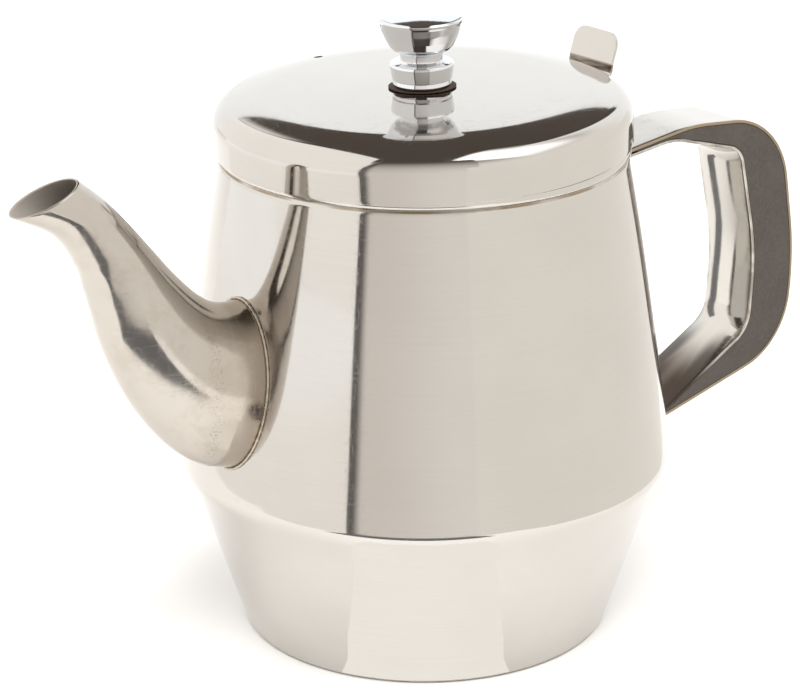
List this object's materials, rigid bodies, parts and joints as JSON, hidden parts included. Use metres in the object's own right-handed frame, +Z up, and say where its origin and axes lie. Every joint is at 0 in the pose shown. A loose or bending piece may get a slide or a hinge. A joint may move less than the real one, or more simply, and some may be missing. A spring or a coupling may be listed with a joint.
{
  "type": "teapot",
  "caption": "Stainless steel gooseneck teapot: shouldered body, hinged slip-over lid with turned knob and thumb tab, double strap handle.",
  "frame": {"origin": "centre of the flat underside of the base, on the body's turning axis", "axes": "+Z up along the body's axis, +X towards the handle and the hinge, -X towards the spout"},
  "size_m": [0.2859, 0.15, 0.1887],
  "materials": {
    "body_steel": "polished stainless steel, warm, with faint drawing marks",
    "spout_steel": "hand-polished stainless steel with fine scratches and heat tint near the weld",
    "weld": "ground weld bead",
    "strap_steel": "polished outer face with a bare cut edge",
    "core_filler": "dull dark grey-brown moulded filler",
    "grip_steel": "polished stainless steel",
    "hinge_steel": "polished stainless steel",
    "pin_steel": "plain stainless steel wire, ends set flat",
    "lid_steel": "polished stainless steel",
    "knob_chrome": "bright chrome plate",
    "washer_fibre": "dark brown pressed fibre",
    "screw_steel": "plain stainless steel"
  },
  "bodies": {
    "pot": {"body_shell": "body_steel", "spout": "spout_steel", "spout_weld": "weld", "handle_strap": "strap_steel", "handle_core": "core_filler", "handle_grip": "grip_steel", "hinge_bracket": "hinge_steel", "hinge_pin": "pin_steel"},
    "lid": {"lid_shell": "lid_steel", "hinge_leaf": "hinge_steel", "knob": "knob_chrome", "knob_washer": "washer_fibre", "knob_screw": "screw_steel", "screw_washer": "screw_steel"}
  },
  "joints": [
    {"name": "lid_hinge", "type": "hinge", "parent": "pot", "child": "lid", "pos_m": [0.0678, 0, 0.1494], "axis": [0, 1, 0], "range_deg": [0, 105]}
  ]
}
